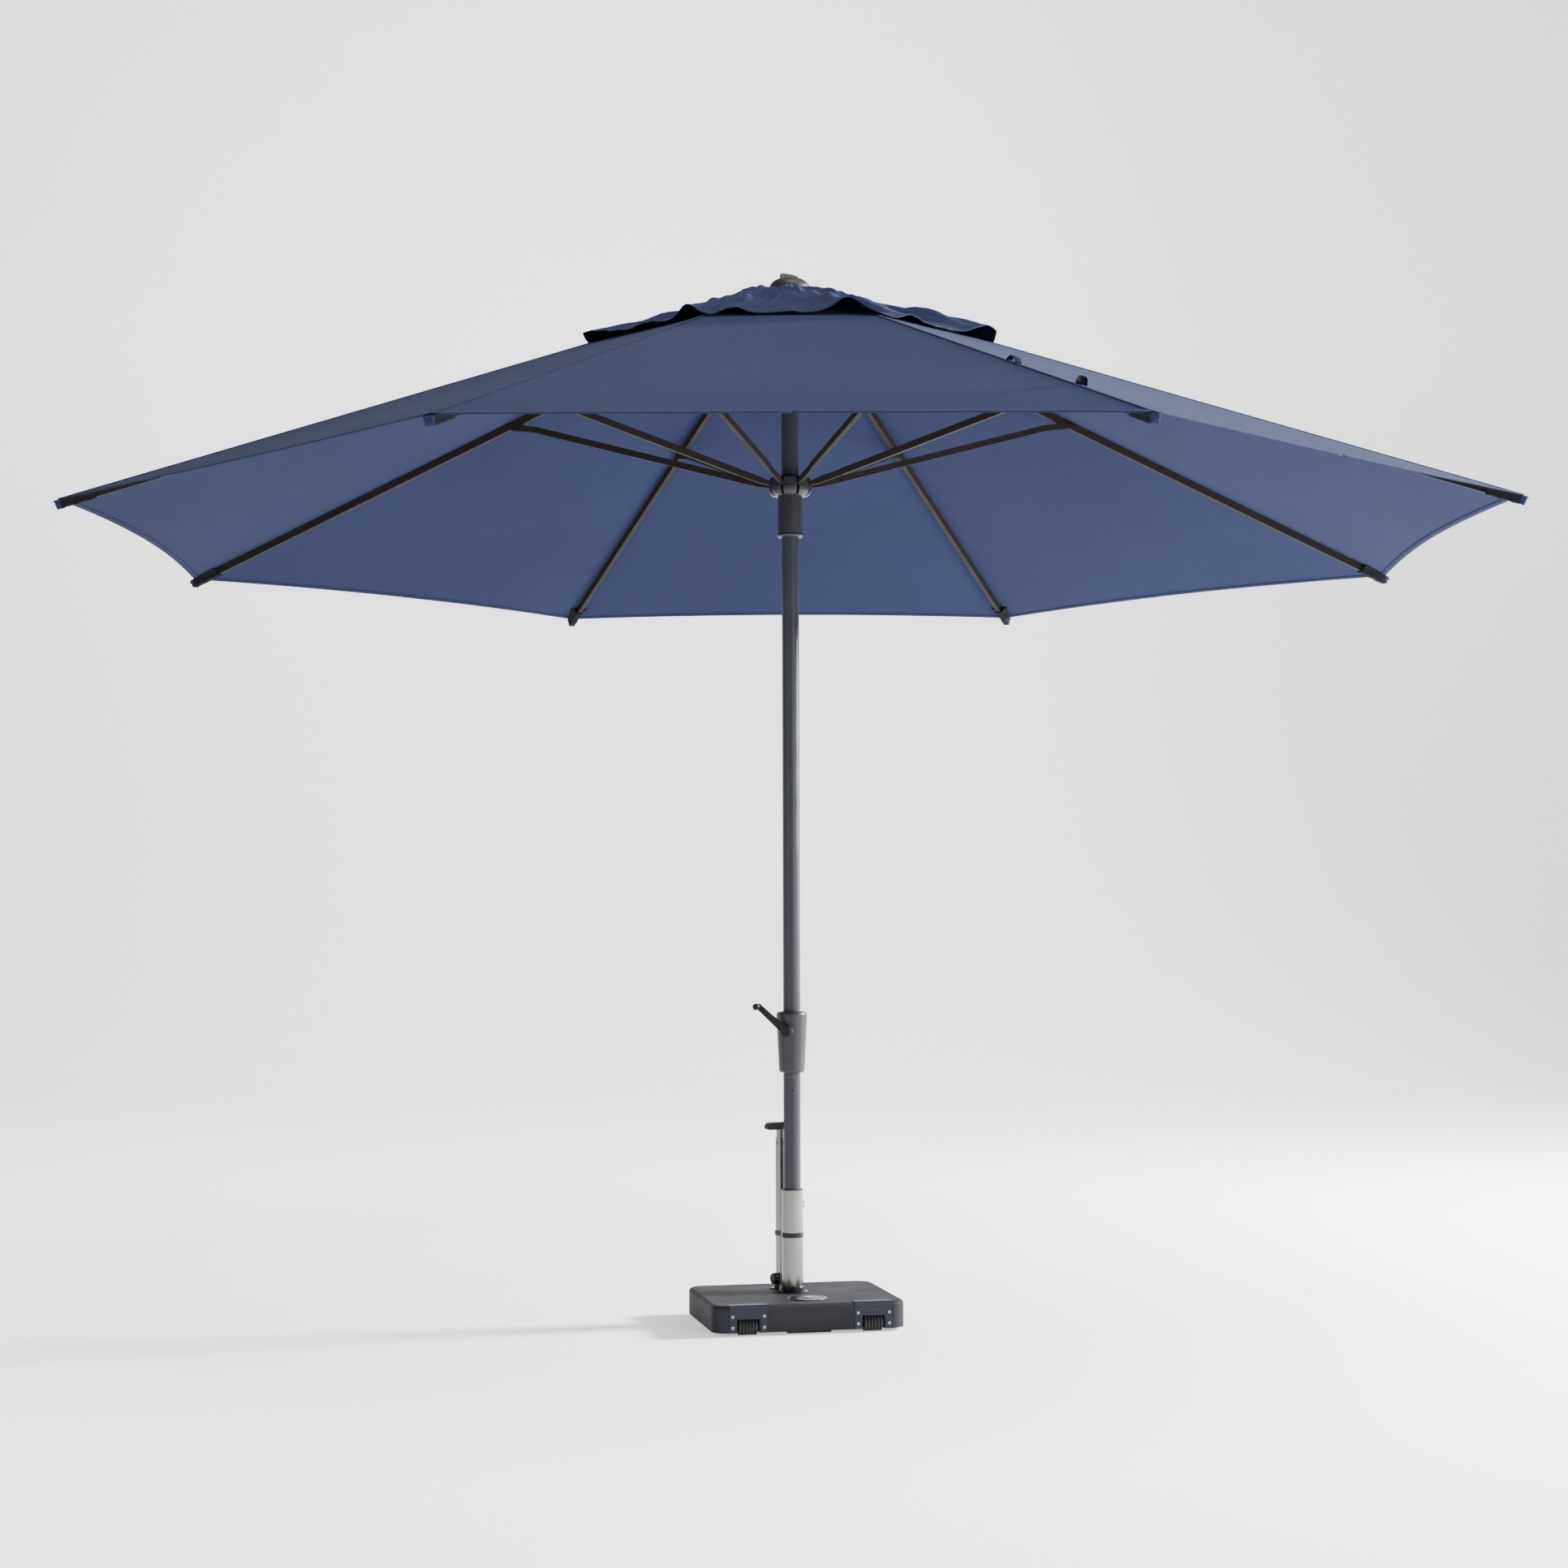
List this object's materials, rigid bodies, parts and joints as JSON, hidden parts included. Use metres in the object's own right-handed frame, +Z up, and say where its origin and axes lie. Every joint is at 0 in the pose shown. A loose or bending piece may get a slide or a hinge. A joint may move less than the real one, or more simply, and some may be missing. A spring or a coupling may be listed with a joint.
{
  "type": "patio umbrella with base",
  "caption": "Centre-pole market umbrella with crank lift, folding octagonal canopy and vent flap, in a weighted base with rollers and telescopic handle.",
  "frame": {"origin": "on the ground, on the pole's axis", "axes": "+Z up the pole, -Y towards the front with the rollers and the crank, +X to the right"},
  "size_m": [3.715, 3.715, 2.9355],
  "materials": {
    "pole_paint": "satin",
    "rib_paint": "satin",
    "black_plastic": "matte",
    "base_plastic": "grained",
    "plate_plastic": "satin",
    "tube_steel": "brushed",
    "fastener_steel": "bright",
    "spring_steel": "oiled",
    "cloth": "woven",
    "cord": "braided",
    "concrete": "rough",
    "rubber": "matte"
  },
  "bodies": {
    "base": {"base_shell": "base_plastic", "base_core": "concrete", "wheel_plates": "plate_plastic", "plate_screws": "fastener_steel", "roller_axles": "fastener_steel", "base_feet": "rubber", "base_tube": "tube_steel", "tube_collar": "black_plastic", "tube_bushes": "black_plastic", "handle_clip": "black_plastic", "handle_bracket": "pole_paint"},
    "pole": {"pole_lower": "pole_paint", "pole_upper": "pole_paint", "pole_coupling": "fastener_steel", "crank_housing_front": "black_plastic", "crank_housing_rear": "black_plastic", "brake_spring": "spring_steel", "top_hub": "black_plastic", "hub_pins": "fastener_steel", "finial_cap": "black_plastic", "lift_cord_inner": "cord", "lift_cord_outer": "cord"},
    "runner": {"runner": "black_plastic", "runner_pins": "fastener_steel"},
    "rib_1": {"rib_1": "rib_paint", "canopy_panel_1": "cloth"},
    "strut_1": {"strut_1": "rib_paint"},
    "rib_2": {"rib_2": "rib_paint", "canopy_panel_2": "cloth"},
    "strut_2": {"strut_2": "rib_paint"},
    "rib_3": {"rib_3": "rib_paint", "canopy_panel_3": "cloth"},
    "strut_3": {"strut_3": "rib_paint"},
    "rib_4": {"rib_4": "rib_paint", "canopy_panel_4": "cloth"},
    "strut_4": {"strut_4": "rib_paint"},
    "rib_5": {"rib_5": "rib_paint", "canopy_panel_5": "cloth"},
    "strut_5": {"strut_5": "rib_paint"},
    "rib_6": {"rib_6": "rib_paint", "canopy_panel_6": "cloth"},
    "strut_6": {"strut_6": "rib_paint"},
    "rib_7": {"rib_7": "rib_paint", "canopy_panel_7": "cloth"},
    "strut_7": {"strut_7": "rib_paint"},
    "rib_8": {"rib_8": "rib_paint", "canopy_panel_8": "cloth"},
    "strut_8": {"strut_8": "rib_paint"},
    "crank": {"spool_shaft": "fastener_steel", "crank_arm": "black_plastic"},
    "crank_knob": {"crank_knob": "black_plastic"},
    "lift_pulley": {"lift_pulley": "black_plastic"},
    "pole_button": {"pole_button": "fastener_steel"},
    "clamp_knob": {"tube_clamp_knob": "black_plastic"},
    "roller_left": {"roller_left": "rubber"},
    "roller_right": {"roller_right": "rubber"},
    "handle_outer": {"handle_outer": "tube_steel"},
    "handle_inner": {"handle_inner": "tube_steel", "handle_grip": "black_plastic"},
    "handle_pivot_knob": {"handle_pivot_knob": "black_plastic"}
  },
  "joints": [
    {"name": "pole_turn", "type": "hinge", "parent": "base", "child": "pole", "pos_m": [0, 0, 0.3], "axis": [0, 0, 1], "range_deg": [-180, 180]},
    {"name": "runner_slide", "type": "slide", "parent": "pole", "child": "runner", "axis": [0, 0, -1], "range_m": [0, 1.22789], "deforming": ["lift_cord_outer"]},
    {"name": "rib_fold_1", "type": "hinge", "parent": "pole", "child": "rib_1", "pos_m": [0.04619, 0.01913, 2.872], "axis": [-0.3827, 0.9239, 0], "range_deg": [0, 66.48], "deforming": ["canopy_panel_1"]},
    {"name": "strut_fold_1", "type": "hinge", "parent": "rib_1", "child": "strut_1", "pos_m": [0.82719, 0.34263, 2.56315], "axis": [0.3827, -0.9239, 0], "range_deg": [0, 137.65]},
    {"name": "rib_fold_2", "type": "hinge", "parent": "pole", "child": "rib_2", "pos_m": [0.01913, 0.04619, 2.872], "axis": [-0.9239, 0.3827, 0], "range_deg": [0, 66.48], "deforming": ["canopy_panel_2"]},
    {"name": "strut_fold_2", "type": "hinge", "parent": "rib_2", "child": "strut_2", "pos_m": [0.34263, 0.82719, 2.56315], "axis": [0.9239, -0.3827, 0], "range_deg": [0, 137.65]},
    {"name": "rib_fold_3", "type": "hinge", "parent": "pole", "child": "rib_3", "pos_m": [-0.01913, 0.04619, 2.872], "axis": [-0.9239, -0.3827, 0], "range_deg": [0, 66.48], "deforming": ["canopy_panel_3"]},
    {"name": "strut_fold_3", "type": "hinge", "parent": "rib_3", "child": "strut_3", "pos_m": [-0.34263, 0.82719, 2.56315], "axis": [0.9239, 0.3827, 0], "range_deg": [0, 137.65]},
    {"name": "rib_fold_4", "type": "hinge", "parent": "pole", "child": "rib_4", "pos_m": [-0.04619, 0.01913, 2.872], "axis": [-0.3827, -0.9239, 0], "range_deg": [0, 66.48], "deforming": ["canopy_panel_4"]},
    {"name": "strut_fold_4", "type": "hinge", "parent": "rib_4", "child": "strut_4", "pos_m": [-0.82719, 0.34263, 2.56315], "axis": [0.3827, 0.9239, 0], "range_deg": [0, 137.65]},
    {"name": "rib_fold_5", "type": "hinge", "parent": "pole", "child": "rib_5", "pos_m": [-0.04619, -0.01913, 2.872], "axis": [0.3827, -0.9239, 0], "range_deg": [0, 66.48], "deforming": ["canopy_panel_5"]},
    {"name": "strut_fold_5", "type": "hinge", "parent": "rib_5", "child": "strut_5", "pos_m": [-0.82719, -0.34263, 2.56315], "axis": [-0.3827, 0.9239, 0], "range_deg": [0, 137.65]},
    {"name": "rib_fold_6", "type": "hinge", "parent": "pole", "child": "rib_6", "pos_m": [-0.01913, -0.04619, 2.872], "axis": [0.9239, -0.3827, 0], "range_deg": [0, 66.48], "deforming": ["canopy_panel_6"]},
    {"name": "strut_fold_6", "type": "hinge", "parent": "rib_6", "child": "strut_6", "pos_m": [-0.34263, -0.82719, 2.56315], "axis": [-0.9239, 0.3827, 0], "range_deg": [0, 137.65]},
    {"name": "rib_fold_7", "type": "hinge", "parent": "pole", "child": "rib_7", "pos_m": [0.01913, -0.04619, 2.872], "axis": [0.9239, 0.3827, 0], "range_deg": [0, 66.48], "deforming": ["canopy_panel_7"]},
    {"name": "strut_fold_7", "type": "hinge", "parent": "rib_7", "child": "strut_7", "pos_m": [0.34263, -0.82719, 2.56315], "axis": [-0.9239, -0.3827, 0], "range_deg": [0, 137.65]},
    {"name": "rib_fold_8", "type": "hinge", "parent": "pole", "child": "rib_8", "pos_m": [0.04619, -0.01913, 2.872], "axis": [0.3827, 0.9239, 0], "range_deg": [0, 66.48], "deforming": ["canopy_panel_8"]},
    {"name": "strut_fold_8", "type": "hinge", "parent": "rib_8", "child": "strut_8", "pos_m": [0.82719, -0.34263, 2.56315], "axis": [-0.3827, -0.9239, 0], "range_deg": [0, 137.65]},
    {"name": "crank_turn", "type": "hinge", "parent": "pole", "child": "crank", "pos_m": [0, 0, 0.8], "axis": [-0.2924, -0.9563, 0], "range_deg": [0, 5629.2]},
    {"name": "crank_knob_spin", "type": "hinge", "parent": "crank", "child": "crank_knob", "pos_m": [-0.09845, -0.05356, 0.86823], "axis": [-0.2924, -0.9563, 0], "continuous": true},
    {"name": "pulley_turn", "type": "hinge", "parent": "pole", "child": "lift_pulley", "pos_m": [0, 0.025, 2.894], "axis": [-1, 0, 0], "range_deg": [0, 6396.7]},
    {"name": "button_press", "type": "slide", "parent": "pole", "child": "pole_button", "axis": [-0.1736, 0.9848, 0], "range_m": [0, 0.003], "stiffness_N_per_m": 900, "springref_m": -0.001},
    {"name": "clamp_screw", "type": "hinge", "parent": "base", "child": "clamp_knob", "pos_m": [0.02, 0.03464, 0.318], "axis": [0.5, 0.866, 0], "range_deg": [0, 720]},
    {"name": "roller_left_spin", "type": "hinge", "parent": "base", "child": "roller_left", "pos_m": [-0.1225, -0.25095, 0.024], "axis": [0.9781, 0.2079, 0], "continuous": true},
    {"name": "roller_right_spin", "type": "hinge", "parent": "base", "child": "roller_right", "pos_m": [0.21398, -0.17943, 0.024], "axis": [0.9781, 0.2079, 0], "continuous": true},
    {"name": "handle_pivot", "type": "hinge", "parent": "base", "child": "handle_outer", "pos_m": [-0.03, 0.046, 0.112], "axis": [-0.8376, -0.5463, 0], "range_deg": [0, 75]},
    {"name": "handle_extend", "type": "slide", "parent": "handle_outer", "child": "handle_inner", "axis": [0, 0, 1], "range_m": [0, 0.33]},
    {"name": "pivot_knob_screw", "type": "hinge", "parent": "base", "child": "handle_pivot_knob", "pos_m": [-0.03, 0.046, 0.112], "axis": [0.8376, 0.5463, 0], "range_deg": [0, 360]}
  ],
  "couplings": [
    {"joint": "rib_fold_1", "follows": "runner_slide", "rad_per_m": 0.94424},
    {"joint": "strut_fold_1", "follows": "runner_slide", "rad_per_m": 1.9558},
    {"joint": "rib_fold_2", "follows": "runner_slide", "rad_per_m": 0.94424},
    {"joint": "strut_fold_2", "follows": "runner_slide", "rad_per_m": 1.9558},
    {"joint": "rib_fold_3", "follows": "runner_slide", "rad_per_m": 0.94424},
    {"joint": "strut_fold_3", "follows": "runner_slide", "rad_per_m": 1.9558},
    {"joint": "rib_fold_4", "follows": "runner_slide", "rad_per_m": 0.94424},
    {"joint": "strut_fold_4", "follows": "runner_slide", "rad_per_m": 1.9558},
    {"joint": "rib_fold_5", "follows": "runner_slide", "rad_per_m": 0.94424},
    {"joint": "strut_fold_5", "follows": "runner_slide", "rad_per_m": 1.9558},
    {"joint": "rib_fold_6", "follows": "runner_slide", "rad_per_m": 0.94424},
    {"joint": "strut_fold_6", "follows": "runner_slide", "rad_per_m": 1.9558},
    {"joint": "rib_fold_7", "follows": "runner_slide", "rad_per_m": 0.94424},
    {"joint": "strut_fold_7", "follows": "runner_slide", "rad_per_m": 1.9558},
    {"joint": "rib_fold_8", "follows": "runner_slide", "rad_per_m": 0.94424},
    {"joint": "strut_fold_8", "follows": "runner_slide", "rad_per_m": 1.9558},
    {"joint": "crank_turn", "follows": "runner_slide", "rad_per_m": 80},
    {"joint": "pulley_turn", "follows": "runner_slide", "rad_per_m": 90.909}
  ]
}
